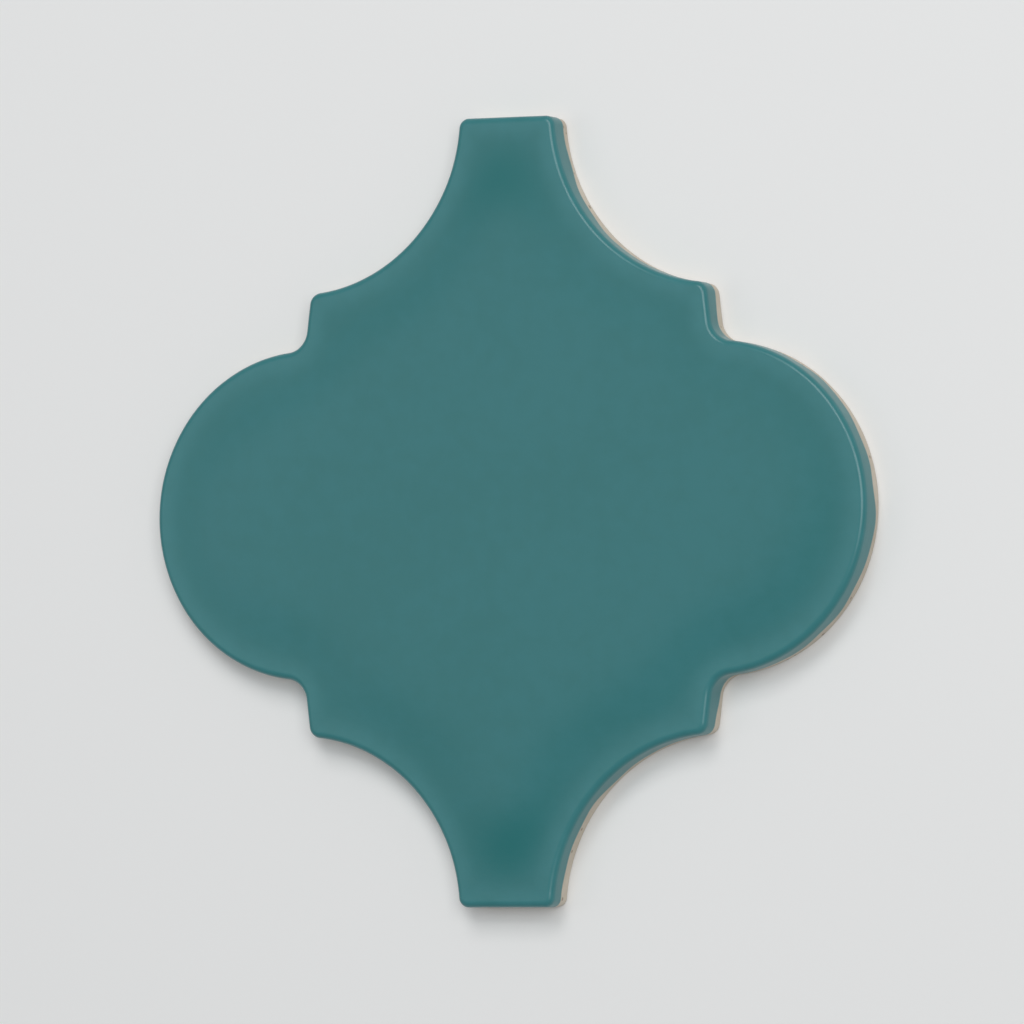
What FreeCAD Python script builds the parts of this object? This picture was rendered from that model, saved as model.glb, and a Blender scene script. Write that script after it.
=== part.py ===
import FreeCAD
import Part
import math
import os
from FreeCAD import Placement, Rotation, Vector

# Lantern-shaped arabesque wall tile: one pressed, glazed and fired ceramic body.
# It lies on its back, centred on the origin. X runs from lobe to lobe, Y from neck to neck and Z out of the
# glazed face. Sizes are millimetres and angles are degrees.

# Outline: it interlocks with its own copies at an even gap, so the bay in each flank follows the lobe's arc
tile_width = 150.0          # over the two lobes
tile_height = 152.0         # over the two necks
joint_width = 2.0           # of that gap
neck_width = 20.0           # flank to flank at a neck's end, as if its corners were square
neck_corner_radius = 2.0
step_length = 5.4           # of the straight stretch of the step between bay and lobe
step_lean = 7.0             # of that stretch, off the tile's length
step_corner_radius = 2.5    # of the step's outer corner

# Section
tile_thickness = 8.0
cushion_width = 9.0         # of the band along the outline where the face rolls down
cushion_drop = 0.7          # of the face at the outline, below its flat middle
rim_radius = 1.2            # between the face and the side
back_edge_chamfer = 0.6

# Back: shallow round-ended grooves from neck to neck, which key it to its adhesive
key_width = 5.0
key_rib = 4.0               # between two grooves
key_depth = 0.8
key_border = 5.0            # flat margin between the grooves and the outline


def polar(angle):
    """Unit vector in the tile's plane, at an angle from X."""
    return Vector(math.cos(math.radians(angle)), math.sin(math.radians(angle)), 0)


def toward(start, end, distance):
    """Point at a distance from start, on the way to end."""
    return start + (end - start).normalize() * distance


class Run:
    """A stretch of the outline, straight or an arc about a centre. An arc either bulges out of the tile or is
    a hollow in it. The tile lies on the right of the way from start to end."""

    def __init__(self, start, end, centre=None, hollow=False):
        self.start = start
        self.end = end
        self.centre = centre
        self.hollow = hollow
        self.radius = None if centre is None else start.distanceToPoint(centre)

    def edge(self):
        if self.centre is None:
            return Part.makeLine(self.start, self.end)
        middle = toward(self.centre, (self.start + self.end) / 2, self.radius)
        return Part.Arc(self.start, middle, self.end).toShape()


def quarter_outline():
    """Runs of the upper right quarter, from the middle of the neck to the tip of the lobe."""
    column_spacing = (tile_width + neck_width) / 2 + joint_width
    row_spacing = tile_height + joint_width

    # The middle line of the gap turns onto itself about the middle of the step
    step_middle = Vector(column_spacing / 2, row_spacing / 4, 0)
    step_out = polar(step_lean)
    step_down = polar(step_lean - 90)
    to_inner_corner = step_out * (step_corner_radius + joint_width / 2) + step_down * (step_length / 2)
    inner_corner = step_middle + to_inner_corner
    outer_corner = step_middle - to_inner_corner
    inner_corner_radius = step_corner_radius + joint_width

    # The lobe's arc ends square to X at the tile's full width, and starts where it meets the inner corner
    inset = tile_width / 2 - inner_corner.x
    lobe_radius = ((inset ** 2 + inner_corner.y ** 2 - inner_corner_radius ** 2)
                   / (2 * (inset + inner_corner_radius)))
    lobe_centre = Vector(tile_width / 2 - lobe_radius, 0, 0)
    lobe_start = toward(inner_corner, lobe_centre, inner_corner_radius)
    lobe_tip = Vector(tile_width / 2, 0, 0)

    # The bay has the lobe's arc, wider by the gap
    bay_radius = lobe_radius + joint_width
    bay_centre = step_middle * 2 - lobe_centre

    neck_end = tile_height / 2
    neck_corner_y = neck_end - neck_corner_radius
    neck_corner_gap = math.sqrt((bay_radius + neck_corner_radius) ** 2 - (bay_centre.y - neck_corner_y) ** 2)
    neck_corner = Vector(bay_centre.x - neck_corner_gap, neck_corner_y, 0)
    neck_middle = Vector(0, neck_end, 0)
    neck_side = Vector(neck_corner.x, neck_end, 0)

    bay_start = toward(neck_corner, bay_centre, neck_corner_radius)
    bay_end = toward(outer_corner, bay_centre, step_corner_radius)
    step_start = outer_corner + step_out * step_corner_radius
    step_end = inner_corner - step_out * inner_corner_radius
    return [
        Run(neck_middle, neck_side),
        Run(neck_side, bay_start, neck_corner),
        Run(bay_start, bay_end, bay_centre, hollow=True),
        Run(bay_end, step_start, outer_corner),
        Run(step_start, step_end),
        Run(step_end, lobe_start, inner_corner, hollow=True),
        Run(lobe_start, lobe_tip, lobe_centre),
    ]


def in_four_quarters(shapes):
    """The shapes of one quarter, with their mirror images in the other three."""
    origin = Vector(0, 0, 0)
    half = shapes + [shape.mirror(origin, Vector(1, 0, 0)) for shape in shapes]
    return half + [shape.mirror(origin, Vector(0, 1, 0)) for shape in half]


def scrap_section(reach):
    """Face of the scrap above the cushioned edge. X is the way in from the outline, as far as reach, and the
    scrap stands half the gap outside the outline."""
    cushion_radius = (cushion_width ** 2 + cushion_drop ** 2) / (2 * cushion_drop)
    cushion_centre = Vector(cushion_width, 0, tile_thickness - cushion_radius)

    def on_cushion(inward):
        rise = math.sqrt(cushion_radius ** 2 - (cushion_width - inward) ** 2)
        return cushion_centre + Vector(inward - cushion_width, 0, rise)

    # The rim's arc rises square from the side and runs on into the cushion's arc
    rim_rise = math.sqrt((cushion_radius - rim_radius) ** 2 - (cushion_width - rim_radius) ** 2)
    rim_centre = Vector(rim_radius, 0, cushion_centre.z + rim_rise)
    rim_start = rim_centre - Vector(rim_radius, 0, 0)
    rim_end = toward(cushion_centre, rim_centre, cushion_radius)
    rim_middle = toward(rim_centre, (rim_start + rim_end) / 2, rim_radius)

    outside = -joint_width / 2
    above = tile_thickness + cushion_drop
    inner = on_cushion(reach)
    arcs = [
        Part.Arc(rim_start, rim_middle, rim_end).toShape(),
        Part.Arc(rim_end, on_cushion((rim_end.x + reach) / 2), inner).toShape(),
    ]
    sides = Part.makePolygon([
        inner,
        Vector(reach, 0, above),
        Vector(outside, 0, above),
        Vector(outside, 0, rim_start.z),
        rim_start,
    ])
    return Part.Face(Part.Wire(arcs + sides.Edges))


def scrap_along(run):
    """Solid of the scrap along one run. On an outward arc it ends at the arc's axis at the latest."""
    if run.centre is None:
        way = run.end - run.start
        section = scrap_section(cushion_width)
        section.Placement = Placement(run.start, Rotation(Vector(1, 0, 0), Vector(way.y, -way.x, 0)))
        return section.extrude(way)
    spoke = run.start - run.centre
    last_spoke = run.end - run.centre
    section = scrap_section(cushion_width if run.hollow else min(cushion_width, run.radius))
    inward = spoke if run.hollow else -spoke
    section.Placement = Placement(run.start, Rotation(Vector(1, 0, 0), inward))
    return section.revolve(run.centre, spoke.cross(last_spoke), math.degrees(spoke.getAngle(last_spoke)))


def level_edges(shape, height):
    """Edges of a shape that lie in the plane at one height."""
    def is_level(edge):
        return all(abs(vertex.Z - height) < Part.Precision.confusion() for vertex in edge.Vertexes)

    return [edge for edge in shape.Edges if is_level(edge)]


def key_groove(lower, upper):
    """Solid of a round-ended groove between the centres of its two ends."""
    side = Vector(key_width / 2, 0, 0)
    tip = Vector(0, key_width / 2, 0)
    rim = Part.Wire([
        Part.makeLine(lower + side, upper + side),
        Part.Arc(upper + side, upper + tip, upper - side).toShape(),
        Part.makeLine(upper - side, lower - side),
        Part.Arc(lower - side, lower - tip, lower + side).toShape(),
    ])
    return Part.Face(rim).extrude(Vector(0, 0, key_depth))


def key_grooves(back):
    """Grooves side by side over the back, each as long as its margin to the outline allows."""
    field = back.makeOffset2D(-key_border - key_width / 2)
    pitch = key_width + key_rib
    last = math.floor(field.BoundBox.XMax / pitch)
    grooves = []
    for place in range(-last, last + 1):
        foot = Vector(place * pitch, -tile_height, 0)
        line = Part.makeLine(foot, foot + Vector(0, 2 * tile_height, 0)).common(field)
        grooves += [key_groove(*sorted((vertex.Point for vertex in edge.Vertexes), key=lambda point: point.y))
                    for edge in line.Edges]
    return grooves


def arabesque_tile():
    runs = quarter_outline()
    outline = Part.Wire(Part.__sortEdges__(in_four_quarters([run.edge() for run in runs])))
    back = Part.Face(outline)
    tile = back.extrude(Vector(0, 0, tile_thickness))
    for scrap in in_four_quarters([scrap_along(run) for run in runs]):
        tile = tile.cut(scrap)
    tile = tile.removeSplitter()
    tile = tile.makeChamfer(back_edge_chamfer, level_edges(tile, 0))
    return tile.cut(key_grooves(back))


os.makedirs("parts", exist_ok=True)
arabesque_tile().exportStep("parts/arabesque_tile.step")
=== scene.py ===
import math
import bpy
import numpy as np
from mathutils import Matrix, Vector


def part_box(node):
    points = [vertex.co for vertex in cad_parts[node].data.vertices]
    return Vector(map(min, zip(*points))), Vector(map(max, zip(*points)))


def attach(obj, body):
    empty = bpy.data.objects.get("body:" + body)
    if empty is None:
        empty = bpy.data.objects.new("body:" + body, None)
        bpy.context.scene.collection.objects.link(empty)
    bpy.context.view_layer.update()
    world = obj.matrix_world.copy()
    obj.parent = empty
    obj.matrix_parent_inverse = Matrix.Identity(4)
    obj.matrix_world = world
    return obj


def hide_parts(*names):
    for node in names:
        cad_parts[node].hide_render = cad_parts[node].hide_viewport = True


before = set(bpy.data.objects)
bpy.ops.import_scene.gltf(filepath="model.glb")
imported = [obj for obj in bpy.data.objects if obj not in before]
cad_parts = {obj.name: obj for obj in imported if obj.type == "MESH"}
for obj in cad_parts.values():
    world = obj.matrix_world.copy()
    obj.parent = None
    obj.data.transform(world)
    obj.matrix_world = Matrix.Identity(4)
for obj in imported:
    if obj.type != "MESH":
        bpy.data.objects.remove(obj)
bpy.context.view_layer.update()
print("frame loaded, nodes:", sorted(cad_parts))

# Metres and radians throughout. X runs from lobe to lobe, Y from neck to neck, Z out of the glazed face.

tile = dict(
    node="arabesque_tile",
    body="root",
    slot="teal_glaze",
    # outline
    bayClearance=.002,        # by which a bay is wider than a lobe
    neckWidth=.020,
    neckCorner=.002,
    stepLength=.0054,
    stepLean=math.radians(7),
    stepCorner=.0025,
    # section
    cushionReach=.0065,       # how far in the face feels its edge
    cushionDrop=.00075,       # of the face along its rim, below its middle
    rimRadius=.0012,
    backChamfer=.0006,
    # pinch: where edges close in, less a margin along them; the material paints shade there
    pinchReach=.013,
    pinchShadow=(.84, 1.3),   # from an open edge to a neck
    marginReach=.0045,
    # key grooves of the back
    keyWidth=.005,
    keyRib=.004,
    keyDepth=.0008,
    keyBorder=.005,
    keySlope=.0006,           # breadth of a groove's softly rounded wall
    # glaze
    glazeThickness=.00016,
    lipHeight=.00032,
    glazeLine=.0028,          # mean height at which the glaze ends on the side
    glazeLineWander=.0014,
    glazeLineWaves=(3, 5, 8, 13, 19, 31, 47),
    rimWander=.00007,         # unevenness of the outline, inwards only
    rimWaves=(2, 3, 5, 7, 11, 17, 29),
    faceSwell=.00003,         # unevenness of the face, downwards only
    swellLengths=(.019, .023, .029, .037, .048, .063),
    # mesh
    outlineStep=.0009,
    leastStep=.00003,
    turnStep=math.radians(8),
    faceRows=46,              # from the middle to one edge
    faceCrowding=.75,         # of the rows towards the edge
    faceInset=.0016,          # of the face's first ring from the outline
    marginRings=3,
    rimRings=8,
    sideRings=(.3, .6, .85, 1),    # shares of the way down to the glaze line
    lipRings=3,
    clayRing=.00096,          # height of the first ring of bare clay
    keyColumns=(.25, .5),     # shares of a groove's half width
    wallColumns=5,
    wallRows=7,
    floorRows=6,
    borderRows=(.5, 1),       # shares of the way from a wall to the rim
    floorReach=.8,            # the most of a column that is a groove's floor
    sharpAngle=math.radians(38),
    bakingMap="OFBake",
    mapMargin=.004,           # round each patch of the baking map
    seed=11,
)


# Seven runs make the upper right quarter of the outline, from the neck's middle to the lobe's tip. A run has
# a length and a turn; points are complex numbers, x + iy. A run of length l that has turned by a spans a
# chord of l sinc(a / 2 pi), half the turn off its first heading.
class QuarterOutline:
    def __init__(self, width, height):
        gap = tile["bayClearance"]
        corner = tile["stepCorner"]
        hollow = corner + gap

        # a copy of the outline fits in at (across, along / 2), and the step's middle lies half way to it
        across = (width + tile["neckWidth"]) / 2 + gap
        along = height + gap
        stepMiddle = complex(across / 2, along / 4)
        stepOut = np.exp(1j * tile["stepLean"])
        toHollow = stepOut * (corner + gap / 2) - 1j * stepOut * tile["stepLength"] / 2
        hollowCentre = stepMiddle + toHollow
        cornerCentre = stepMiddle - toHollow

        inset = width / 2 - hollowCentre.real
        lobe = (inset ** 2 + hollowCentre.imag ** 2 - hollow ** 2) / (2 * (inset + hollow))
        lobeCentre = width / 2 - lobe
        bay = lobe + gap
        bayCentre = 2 * stepMiddle - lobeCentre

        neck = tile["neckCorner"]
        neckY = height / 2 - neck
        neckX = bayCentre.real - math.sqrt((bay + neck) ** 2 - (bayCentre.imag - neckY) ** 2)

        # the outward normal is a quarter turn left of the heading
        normals = np.angle([
            1j, 1j,
            bayCentre - complex(neckX, neckY),
            bayCentre - cornerCentre,
            stepOut, stepOut,
            hollowCentre - lobeCentre,
            1,
        ])
        sizes = np.array([neckX, neck, bay, corner, tile["stepLength"], hollow, lobe])
        self.headings = normals - np.pi / 2
        self.turns = np.diff(self.headings)
        self.lengths = sizes * np.where(self.turns == 0, 1, np.abs(self.turns))
        self.ends = np.concatenate([[0], np.cumsum(self.lengths)])
        chords = self.chord(np.arange(len(sizes)), self.lengths)[0]
        self.starts = 1j * height / 2 + np.concatenate([[0], np.cumsum(chords)])

    def chord(self, run, along):
        turn = self.turns[run] * along / self.lengths[run]
        span = along * np.sinc(turn / (2 * np.pi)) * np.exp(1j * (self.headings[run] + turn / 2))
        return span, self.headings[run] + turn

    # points and outward normals at distances along the outline
    def at(self, distance):
        run = np.clip(np.searchsorted(self.ends, distance, side="right") - 1, 0, len(self.turns) - 1)
        span, heading = self.chord(run, distance - self.ends[run])
        return self.starts[run] + span, 1j * np.exp(1j * heading)

    def dense(self, count=1200):
        distance = np.linspace(0, self.ends[-1], count)
        return (distance, *self.at(distance))

    # even steps along each run, short enough for its length and its turn
    def steps(self):
        byLength = self.lengths / tile["outlineStep"]
        byTurn = np.abs(self.turns) / tile["turnStep"]
        counts = np.ceil(np.maximum(byLength, byTurn))
        return np.concatenate([
            start + length * np.arange(count) / count
            for start, length, count in zip(self.ends, self.lengths, counts)
        ] + [self.ends[-1:]])


# 3t^2 - 2t^3 of the share t of the way from low to high
def smoothStep(low, high, value):
    share = np.clip((value - low) / (high - low), 0, 1)
    return share ** 2 * (3 - 2 * share)


# Mean of sine waves of the given lengths, with seeded ways and phases, over points of the plane
def swell(points, lengths, rng):
    ways = np.exp(2j * np.pi * rng.random(len(lengths)))
    shifts = 2 * np.pi * rng.random(len(lengths))
    travel = np.real(np.conj(ways) * points[..., None])
    return np.sin(2 * np.pi * travel / lengths + shifts).mean(axis=-1)


# Mean of sine waves that close on themselves round a loop, by their counts of waves and seeded phases
def ripple(share, counts, rng):
    shifts = 2 * np.pi * rng.random(len(counts))
    return np.sin(2 * np.pi * np.multiply.outer(share, counts) + shifts).mean(axis=-1)


# The other quarters of points on the upper right one: along the upper half from lobe to lobe, right round,
# and over a grid
def upperHalf(quarter):
    return np.concatenate([-np.conj(quarter[:0:-1]), quarter])


def wholeLoop(quarter):
    upper = upperHalf(quarter)
    return np.concatenate([upper, np.conj(upper[-2:0:-1])])


def wholeGrid(quarter):
    half = np.concatenate([np.conj(quarter[:, :0:-1]), quarter], axis=1)
    return np.concatenate([-np.conj(half[:0:-1]), half])


# and the same of values on a grid
def mirrored(values):
    half = np.concatenate([values[:, :0:-1], values], axis=1)
    return np.concatenate([half[:0:-1], half])


# Shortest way from points of the upper right quarter to its outline
def outlineDistance(points, edge):
    return np.abs(points[..., None] - edge).min(axis=-1)


# Gaussian shadow of the outline over points: 1 on a long straight edge, fading inwards, and more where edges
# close in
def edgeShadow(points, loop, reach):
    steps = np.abs(np.diff(loop, append=loop[0]))
    weights = (steps + np.roll(steps, 1)) / 2
    apart = np.abs(points[..., None] - loop)
    return (np.exp(-.5 * (apart / reach) ** 2) * weights).sum(axis=-1) / (reach * math.sqrt(2 * np.pi))


# Dip of the face towards its edge: 2s - s^2 of the shadow s keeps a level margin along the rim
def edgeDip(points, loop):
    shadow = edgeShadow(points, loop, tile["cushionReach"])
    return shadow * (2 - shadow)


# How far the edges close in, as in the necks: a smooth step of a broad shadow, less what a narrow one covers
def edgePinch(points, loop):
    broad = edgeShadow(points, loop, tile["pinchReach"])
    narrow = np.minimum(edgeShadow(points, loop, tile["marginReach"]), 1)
    return smoothStep(*tile["pinchShadow"], broad) * (1 - narrow)


# Centres of the upper ends of the key grooves, each as far out as its margin to the outline allows
def keyEnds(edge, height, count=1500):
    margin = tile["keyBorder"] + tile["keyWidth"] / 2
    pitch = tile["keyWidth"] + tile["keyRib"]
    x = pitch * np.arange(math.floor((edge.real.max() - margin) / pitch) + 1)
    y = np.linspace(0, height / 2, count)
    points = x[:, None] + 1j * y
    inside = (outlineDistance(points, edge) >= margin) & (y < np.interp(x, edge.real, edge.imag)[:, None])
    return x + 1j * np.where(inside, y, 0).max(axis=1)


# Distances along the quarter: even steps, and where the back's edge meets lines along the grooves' walls
def outlineSamples(outline, ends):
    along, edge, normal = outline.dense()
    half = tile["keyWidth"] / 2
    walls = tile["keySlope"] * np.linspace(-.5, .5, tile["wallColumns"])
    lines = np.concatenate([half * np.array(tile["keyColumns"]), half + walls])
    lines = np.add.outer(ends.real, np.concatenate([-lines, lines])).ravel()
    backEdge = (edge - tile["backChamfer"] * normal).real
    samples = np.union1d(outline.steps(), np.interp(lines[lines > 0], backEdge, along))
    return samples[np.append(np.diff(samples) > tile["leastStep"], True)]


# Rings from the face over the rim and down the side to the back. Each has a depth in from the outline and a
# level: the rim is a quarter circle, the glaze ends in a rounded lip, and the clay below stands back by it.
def edgeRings(edge, normal, thickness, rng):
    loop, out = wholeLoop(edge), wholeLoop(normal)
    steps = np.abs(np.diff(loop, append=loop[0]))
    share = (np.cumsum(steps) - steps) / steps.sum()
    rim, skin, chamfer = tile["rimRadius"], tile["glazeThickness"], tile["backChamfer"]
    glazeEnd = tile["glazeLine"] + tile["glazeLineWander"] * ripple(share, tile["glazeLineWaves"], rng)
    uneven = tile["rimWander"] * (1 + ripple(share, tile["rimWaves"], rng)) / 2

    face = np.linspace(tile["faceInset"], rim, tile["marginRings"])[:, None]
    turn = np.linspace(np.pi / 2, 0, tile["rimRings"] + 1)[1:, None]
    side = np.array(tile["sideRings"])[:, None]
    lip = np.linspace(0, np.pi / 2, tile["lipRings"] + 1)[1:, None]
    clayDepth = np.array([skin, skin, chamfer])[:, None]
    clayLevel = np.array([tile["clayRing"], chamfer - skin, 0])[:, None]
    depth = np.concatenate([face, rim * (1 - np.cos(turn)), 0 * side, skin * (1 - np.cos(lip)), clayDepth])

    top = thickness - tile["cushionDrop"] * edgeDip(loop - face * out, loop)
    sideTop = top[-1] - rim
    level = np.concatenate([
        top,
        sideTop + rim * np.sin(turn),
        sideTop + side * (glazeEnd - sideTop),
        glazeEnd - tile["lipHeight"] * np.sin(lip),
        np.broadcast_to(clayLevel, (len(clayLevel), len(loop))),
    ])
    glazedRings = len(face) + len(turn) + len(side) + 1    # down to the lip's first
    wander = np.clip(1 - depth / tile["faceInset"], 0, 1)
    wander[-1] = 0            # the back's columns start from a true edge
    return dict(
        points=loop - (depth + uneven * wander) * out,
        level=level,
        wayIn=depth,
        pinch=0,
        glazed=np.arange(len(depth))[:, None] < glazedRings,
    )


# Face: columns along Y inside the first ring, with rows that close up towards their ends
def faceField(edge, normal, thickness, outline, rng):
    rows = np.linspace(0, 1, tile["faceRows"])
    rows = rows + tile["faceCrowding"] * np.sin(np.pi * rows) / np.pi
    ring = edge - tile["faceInset"] * normal
    quarter = ring.real[:, None] + 1j * np.multiply.outer(ring.imag, rows)
    points = wholeGrid(quarter)
    loop = wholeLoop(edge)
    wayIn = mirrored(outlineDistance(quarter, outline.dense()[1]))
    waves = 1 + swell(points, tile["swellLengths"], rng)
    calm = smoothStep(tile["faceInset"], tile["cushionReach"], wayIn)
    dip = tile["cushionDrop"] * mirrored(edgeDip(quarter, loop))
    return dict(
        points=points,
        level=thickness - dip - tile["faceSwell"] * calm * waves,
        wayIn=wayIn,
        pinch=mirrored(edgePinch(quarter, loop)),
        glazed=True,
    )


# Back: columns along Y at the outline's samples. Rows follow the ends of the grooves, so that each wall lies
# between grid lines; a groove's depth is a smooth step of the way in from its rim.
def backField(edge, normal, ends):
    pitch = tile["keyWidth"] + tile["keyRib"]
    half = tile["keyWidth"] / 2
    slope = tile["keySlope"] / 2
    reach = half + slope
    levels = np.linspace(slope, -slope, tile["wallRows"])

    rim = edge - tile["backChamfer"] * normal
    nearest = np.minimum(np.round(rim.real / pitch), len(ends) - 1).astype(int)
    offset = np.abs(rim.real - ends.real[nearest])
    knots = np.stack([ends.real - reach, ends.real + reach], axis=1).ravel()
    endY = np.interp(rim.real, knots, np.repeat(ends.imag, 2))
    endY = np.minimum(endY, tile["floorReach"] * rim.imag)

    spread = slope * np.minimum(endY / tile["keyBorder"], 1)    # of the wall's rows on columns beside it
    inner = np.multiply.outer(endY - 2 * spread, np.linspace(0, 1, tile["floorRows"]))
    roundEnd = np.sqrt(np.maximum((half - levels) ** 2 - offset[:, None] ** 2, 0))
    walls = endY[:, None] + roundEnd - np.multiply.outer(spread, np.linspace(1, 0, len(levels)))
    border = walls[:, -1:] + np.multiply.outer(rim.imag - walls[:, -1], tile["borderRows"])
    y = np.concatenate([inner, walls, border], axis=1)
    wayIn = half - np.hypot(offset[:, None], np.maximum(y - endY[:, None], 0))
    return dict(
        points=wholeGrid(rim.real[:, None] + 1j * y),
        level=mirrored(tile["keyDepth"] * smoothStep(-slope, slope, wayIn)),
        wayIn=0,
        pinch=0,
        glazed=False,
    )


# The tile's points in three blocks, each with its levels and what the material reads
def tileBlocks():
    rng = np.random.default_rng(tile["seed"])
    low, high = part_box(tile["node"])
    width, height, thickness = high - low
    outline = QuarterOutline(width, height)
    ends = keyEnds(outline.dense()[1], height)
    edge, normal = outline.at(outlineSamples(outline, ends))
    rings = edgeRings(edge, normal, thickness, rng)
    face = faceField(edge, normal, thickness, outline, rng)
    return rings, face, backField(edge, normal, ends)


# Values of the blocks: of the two fields only what lies inside the rings, which end their rows and columns
def gathered(blocks, name):
    rings, face, back = (np.broadcast_to(block[name], block["points"].shape) for block in blocks)
    return rings, face[1:-1, 1:-1], back[1:-1, 1:-1]


def joined(blocks, name):
    return np.concatenate([values.ravel() for values in gathered(blocks, name)])


# Faces between adjoining rows and columns of an array of vertex numbers
def gridQuads(numbers):
    corners = [numbers[:-1, :-1], numbers[1:, :-1], numbers[1:, 1:], numbers[:-1, 1:]]
    return np.stack(corners, axis=-1).reshape(-1, 4)


# A field of columns inside a ring: the ring's upper and lower points end its columns, and its tips are poles
def fieldFaces(ring, inner):
    columns = len(ring) // 2 + 1
    numbers = np.empty((columns, inner.shape[1] + 2), int)
    numbers[1:-1, 1:-1] = inner
    numbers[:, -1] = ring[:columns]
    numbers[:, 0] = ring[-np.arange(columns)]
    quads = gridQuads(numbers[1:-1])
    low, high = numbers[:, :-1], numbers[:, 1:]
    leftTip = np.stack([np.full(low.shape[1], ring[0]), low[1], high[1]], axis=-1)
    rightTip = np.stack([low[-2], np.full(low.shape[1], ring[columns - 1]), high[-2]], axis=-1)
    return quads, np.concatenate([leftTip, rightTip])


# Patch of the face or the back in the baking map: flat, in one of its lower quarters, and turned by an eighth
# of a circle, which is how the outline fills a square best
def flatPatch(points, left):
    turned = points * np.exp(.25j * np.pi)
    reach = max(np.abs(turned.real).max(), np.abs(turned.imag).max())
    return complex(left + .25, .25) + turned * (.25 - tile["mapMargin"]) / reach


# Patches of the rings' faces in the upper half of the baking map: the side unrolled in two strips, by the
# mean share of the way round and of the way down
def sidePatches(points, level):
    margin = tile["mapMargin"]
    rows, columns = points.shape
    around = np.abs(np.diff(points, axis=1, append=points[:, :1])).mean(axis=0)
    along = np.append(0, np.cumsum(around)) / around.sum()
    drops = np.hypot(np.abs(np.diff(points, axis=0)), np.diff(level, axis=0)).mean(axis=1)
    down = np.append(0, np.cumsum(drops)) / drops.sum()
    row, column = (gridQuads(index) for index in np.indices((rows, columns + 1)))
    strip = column.min(axis=1, keepdims=True) // (columns // 2)
    u = margin + (1 - 2 * margin) * (2 * along[column] - strip)
    v = .5 + strip / 4 + margin + (.25 - 2 * margin) * down[row]
    return u + 1j * v


# One closed mesh: the rings' faces right round, and a field of columns inside the first ring and the last
def glazedTile():
    blocks = tileBlocks()
    rings = blocks[0]
    points = joined(blocks, "points")
    vertices = np.stack([points.real, points.imag, joined(blocks, "level")], axis=-1)

    shapes = [block.shape for block in gathered(blocks, "points")]
    parts = np.split(np.arange(len(points)), np.cumsum([math.prod(shape) for shape in shapes])[:-1])
    ringNumbers, faceNumbers, backNumbers = (part.reshape(shape) for part, shape in zip(parts, shapes))
    around = np.concatenate([ringNumbers, ringNumbers[:, :1]], axis=1)
    sideQuads = gridQuads(around)[:, ::-1]
    faceQuads, faceTips = fieldFaces(ringNumbers[0], faceNumbers)
    backQuads, backTips = (faces[:, ::-1] for faces in fieldFaces(ringNumbers[-1], backNumbers))
    quads = np.concatenate([sideQuads, faceQuads, backQuads])
    tips = np.concatenate([faceTips, backTips])

    mesh = bpy.data.meshes.new("glazed_tile")
    mesh.from_pydata(vertices.tolist(), [], quads.tolist() + tips.tolist())
    mesh.polygons.foreach_set("use_smooth", np.ones(len(mesh.polygons), bool))
    mesh.set_sharp_from_angle(angle=tile["sharpAngle"])

    # what the material reads, with the way in as millimetres
    for name, scale in (("wayIn", 1000), ("pinch", 1), ("glazed", 1)):
        values = scale * joined(blocks, name).astype(np.float32)
        mesh.attributes.new(name, "FLOAT", "POINT").data.foreach_set("value", values)

    facePatch = flatPatch(points, 0)
    backPatch = flatPatch(-np.conj(points), .5)
    corners = np.concatenate([patch.ravel() for patch in (
        sidePatches(rings["points"], rings["level"])[:, ::-1],
        facePatch[faceQuads],
        backPatch[backQuads],
        facePatch[faceTips],
        backPatch[backTips],
    )])
    bakingMap = mesh.uv_layers.new(name=tile["bakingMap"])
    bakingMap.uv.foreach_set("vector", np.stack([corners.real, corners.imag], axis=-1).ravel())

    piece = bpy.data.objects.new("glazed_tile", mesh)
    bpy.context.scene.collection.objects.link(piece)
    print("tile:", len(points), "points,", 2 * len(quads) + len(tips), "triangles")
    return piece


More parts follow.
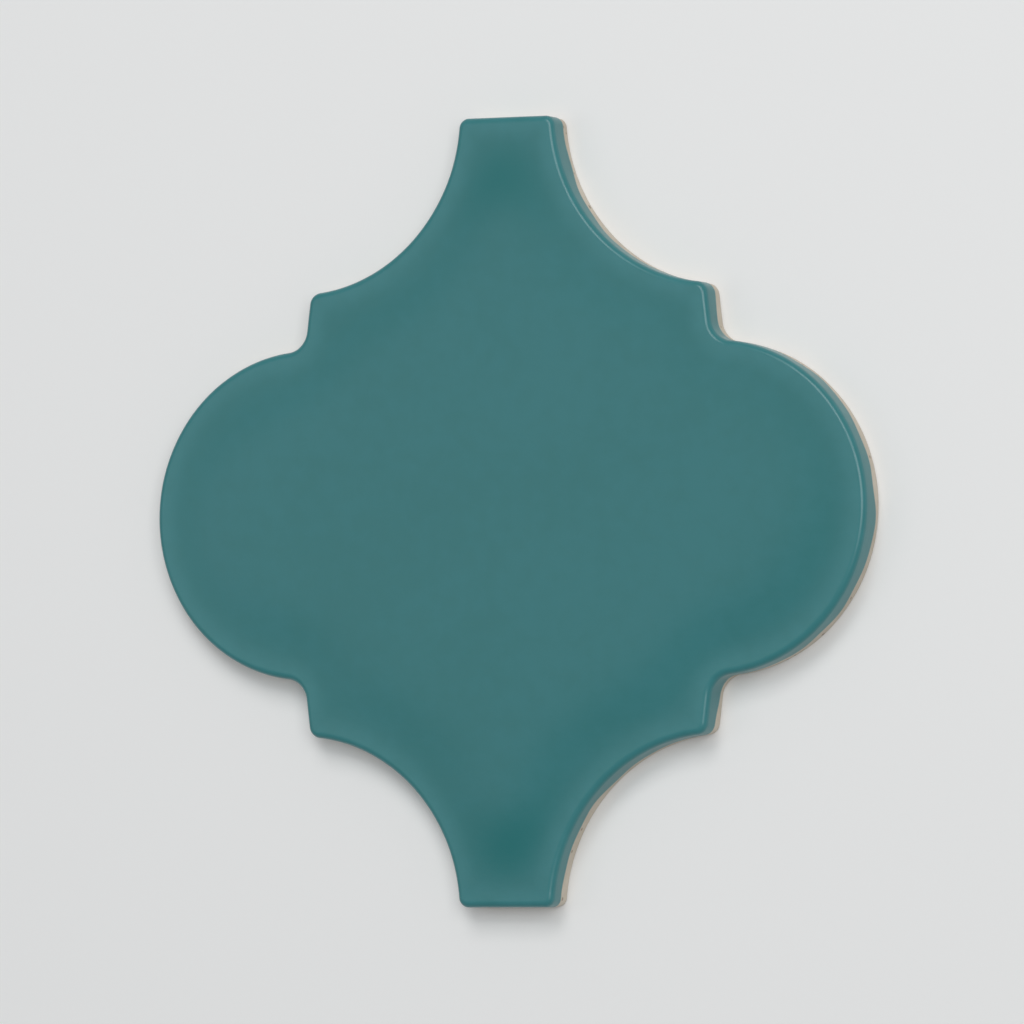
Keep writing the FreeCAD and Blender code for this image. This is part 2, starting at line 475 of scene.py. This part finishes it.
# A socket that takes part in sums: each operator adds a Math node
class Signal:
    def __init__(self, tree, socket=None):
        self.tree = tree
        self.socket = socket

    # any node, by its type, its settings and the values or links of its sockets
    def node(self, kind, settings=(), sockets=(), output=0):
        made = self.tree.nodes.new(kind)
        for name, value in dict(settings).items():
            setattr(made, name, value)
        for name, value in dict(sockets).items():
            if isinstance(value, Signal):
                self.tree.links.new(value.socket, made.inputs[name])
            else:
                made.inputs[name].default_value = value
        return Signal(self.tree, made.outputs[output] if made.outputs else None)

    def maths(self, operation, first, second):
        return self.node("ShaderNodeMath", dict(operation=operation), {0: first, 1: second})

    def __add__(self, other):
        return self.maths("ADD", self, other)

    def __sub__(self, other):
        return self.maths("SUBTRACT", self, other)

    def __mul__(self, other):
        return self.maths("MULTIPLY", self, other)

    def __radd__(self, other):
        return self.maths("ADD", other, self)

    def __rsub__(self, other):
        return self.maths("SUBTRACT", other, self)

    def __rmul__(self, other):
        return self.maths("MULTIPLY", other, self)

    # 0 below low, 1 above high, smooth between
    def step(self, low, high):
        sockets = {"Value": self, "From Min": low, "From Max": high}
        return self.node("ShaderNodeMapRange", dict(interpolation_type="SMOOTHSTEP"), sockets)

    # one colour where the signal is 0, the other where it is 1
    def blend(self, first, second):
        sockets = {0: self, 6: first, 7: second}
        return self.node("ShaderNodeMix", dict(data_type="RGBA"), sockets, output=2)

    def attribute(self, name):
        return self.node("ShaderNodeAttribute", dict(attribute_name=name), output="Fac")

    def place(self):
        return self.node("ShaderNodeTexCoord", output="Object")

    # values of 0 to 1 about a mean of one half
    def noise(self, scale, detail):
        sockets = {"Vector": self.place(), "Scale": scale, "Detail": detail}
        return self.node("ShaderNodeTexNoise", dict(normalize=True), sockets)

    # Spots in the cells of a scattered grid. The largest has the given size as its radius, in cells, and
    # fades over its outer half. Each cell draws a chance that shrinks its spot, and a high one leaves it
    # bare.
    def specks(self, scale, size, thinning):
        sockets = {"Vector": self.place(), "Scale": scale}
        away = self.node("ShaderNodeTexVoronoi", sockets=sockets, output="Distance")
        draw = self.node("ShaderNodeTexVoronoi", sockets=sockets, output="Color")
        chance = self.node("ShaderNodeSeparateColor", sockets={"Color": draw})
        return 1 - (away + thinning * size * chance).step(size / 2, size)


def newMaterial(name):
    material = bpy.data.materials.new(name)
    material.use_nodes = True
    material.node_tree.nodes.clear()
    return material, Signal(material.node_tree)


def surface(graph, sockets):
    shader = graph.node("ShaderNodeBsdfPrincipled", sockets=sockets)
    graph.node("ShaderNodeOutputMaterial", sockets={"Surface": shader})


glaze = dict(
    # scale and detail of the noises
    cloudNoise=(38, 3),
    mottleNoise=(260, 3),
    peelNoise=(900, 2),
    grainNoise=(2600, 3),
    # glaze
    face=(.0252, .1745, .1815, 1),
    cloud=(.030, .188, .201, 1),
    cloudShare=.8,
    cloudStep=(.2, .8),
    band=(.006, .152, .155, 1),       # painted shade where edges close in
    bandPlay=.6,
    rim=(.050, .230, .245, 1),        # paler along the rim: glaze thinning as it breaks over it, and a painted highlight of the rim
    rimShare=.5,
    rimPlay=.8,
    rimFade=(1.0, 5.5),               # millimetres in from the outline
    roughness=.305,
    roughnessPlay=.05,
    peel=.000018,
    # bare clay
    clay=(.70, .63, .53, 1),
    clayDark=(.58, .50, .40, 1),
    clayCloud=.6,                     # share of the clouds in its tone, beside the mottle
    clayStep=(.3, .7),
    claySpeck=(.26, .18, .12, 1),
    speckScale=520,
    speckSize=.3,
    speckThinning=1.4,
    speckShare=.7,
    clayRoughness=.88,
    clayGrain=.00005,
)


# Satin glaze over a fired clay body, with painted shade where the edges close in and a painted highlight
# along the rim. The mesh says where it is glazed, how far in from the outline, and how far the edges close
# in.
def tealGlaze():
    material, graph = newMaterial("teal_glaze")
    glazed = graph.attribute("glazed")
    wayIn = graph.attribute("wayIn")
    pinch = graph.attribute("pinch")
    cloud = graph.noise(*glaze["cloudNoise"])
    mottle = graph.noise(*glaze["mottleNoise"])
    peel = graph.noise(*glaze["peelNoise"])
    grain = graph.noise(*glaze["grainNoise"])

    clouded = glaze["cloudShare"] * (cloud + mottle - .5).step(*glaze["cloudStep"])
    tone = clouded.blend(glaze["face"], glaze["cloud"])
    # painted shade: darker and greener where edges close in, as in the necks, standing for their slopes
    # reflecting less light
    band = pinch * (1 + glaze["bandPlay"] * (cloud - .5))
    tone = band.blend(tone, glaze["band"])
    # paler along the rim: partly glaze thinning over it, partly a painted highlight of the rim catching light
    rim = glaze["rimShare"] * (1 - wayIn.step(*glaze["rimFade"])) * (1 + glaze["rimPlay"] * (mottle - .5))
    tone = rim.blend(tone, glaze["rim"])

    dark = (glaze["clayCloud"] * cloud + (1 - glaze["clayCloud"]) * mottle).step(*glaze["clayStep"])
    clay = dark.blend(glaze["clay"], glaze["clayDark"])
    specks = graph.specks(glaze["speckScale"], glaze["speckSize"], glaze["speckThinning"])
    clay = (glaze["speckShare"] * specks).blend(clay, glaze["claySpeck"])

    gloss = glaze["roughness"] + glaze["roughnessPlay"] * (mottle - .5)
    height = glazed * (glaze["peel"] * peel) + (1 - glazed) * (glaze["clayGrain"] * grain)
    bump = graph.node("ShaderNodeBump", sockets={"Height": height, "Distance": 1.0, "Strength": 1.0})
    surface(graph, {
        "Base Color": glazed.blend(clay, tone),
        "Roughness": glazed * gloss + (1 - glazed) * glaze["clayRoughness"],
        "Normal": bump,
    })
    return material


piece = glazedTile()
piece.data.materials.append(tealGlaze())
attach(piece, tile["body"])
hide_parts(tile["node"])
print("tile glazed")


studio = dict(
    floorSize=6.0,
    floorTone=(.90, .90, .89, 1),
    floorRoughness=.9,
    world=(.26, .27, .28, 1),
    target=Vector((0, 0, .004)),
    yaw=math.radians(25),         # of the camera, towards +X off the face's normal
    drop=math.radians(2.5),       # and towards -Y
    distance=1.75,
    lens=320,
    # ways to the panels off the face's normal, towards +X and +Y, and their rolls, all in degrees
    panels=dict(
        veilPanel=dict(sideways=-31, lengthways=3.2, roll=20, distance=1.6, size=(1.1, .48), radiance=.89),
        keyPanel=dict(sideways=8, lengthways=32, roll=0, distance=1.6, size=(.7, .7), radiance=4.7),
        fillPanel=dict(sideways=28, lengthways=8, roll=0, distance=2.4, size=(1.2, 1.2), radiance=4.4),
    ),
)


# Unit vector off the face's normal by an angle towards +X, and then by one towards +Y
def wayOut(sideways, lengthways):
    across = math.cos(lengthways)
    return Vector((math.sin(sideways) * across, math.sin(lengthways), math.cos(sideways) * across))


# placed at the target plus way times distance, looking back at it with +Y upwards in its picture
def aimed(thing, way, distance, roll=0):
    across = Vector((0, 1, 0)).cross(way).normalized()
    axes = Matrix((across, way.cross(across), way)).transposed()
    place = Matrix.Translation(studio["target"] + way * distance)
    thing.matrix_world = place @ axes.to_4x4() @ Matrix.Rotation(roll, 4, "Z")
    bpy.context.scene.collection.objects.link(thing)


# radiance is what a mirror would show of the panel
def softPanel(name, sideways, lengthways, roll, distance, size, radiance):
    lamp = bpy.data.lights.new(name, "AREA")
    lamp.shape = "RECTANGLE"
    lamp.size, lamp.size_y = size
    lamp.energy = radiance * math.pi * size[0] * size[1]
    way = wayOut(math.radians(sideways), math.radians(lengthways))
    aimed(bpy.data.objects.new(name, lamp), way, distance, math.radians(roll))


def floor():
    half = studio["floorSize"] / 2
    mesh = bpy.data.meshes.new("floor")
    corners = [(-half, -half, 0), (half, -half, 0), (half, half, 0), (-half, half, 0)]
    mesh.from_pydata(corners, [], [(0, 1, 2, 3)])
    material, graph = newMaterial("floor")
    surface(graph, {"Base Color": studio["floorTone"], "Roughness": studio["floorRoughness"]})
    mesh.materials.append(material)
    ground = bpy.data.objects.new("floor", mesh)
    bpy.context.scene.collection.objects.link(ground)


floor()
for name, panel in studio["panels"].items():
    softPanel(name, **panel)
world = bpy.data.worlds.new("studio")
world.use_nodes = True
world.node_tree.nodes["Background"].inputs["Color"].default_value = studio["world"]
bpy.context.scene.world = world
print("studio lit")

camera = bpy.data.objects.new("camera", bpy.data.cameras.new("camera"))
camera.data.lens = studio["lens"]
aimed(camera, wayOut(studio["yaw"], -studio["drop"]), studio["distance"])
bpy.context.scene.camera = camera
bpy.context.scene.view_settings.view_transform = "Standard"
print("camera set")

bpy.context.view_layer.update()
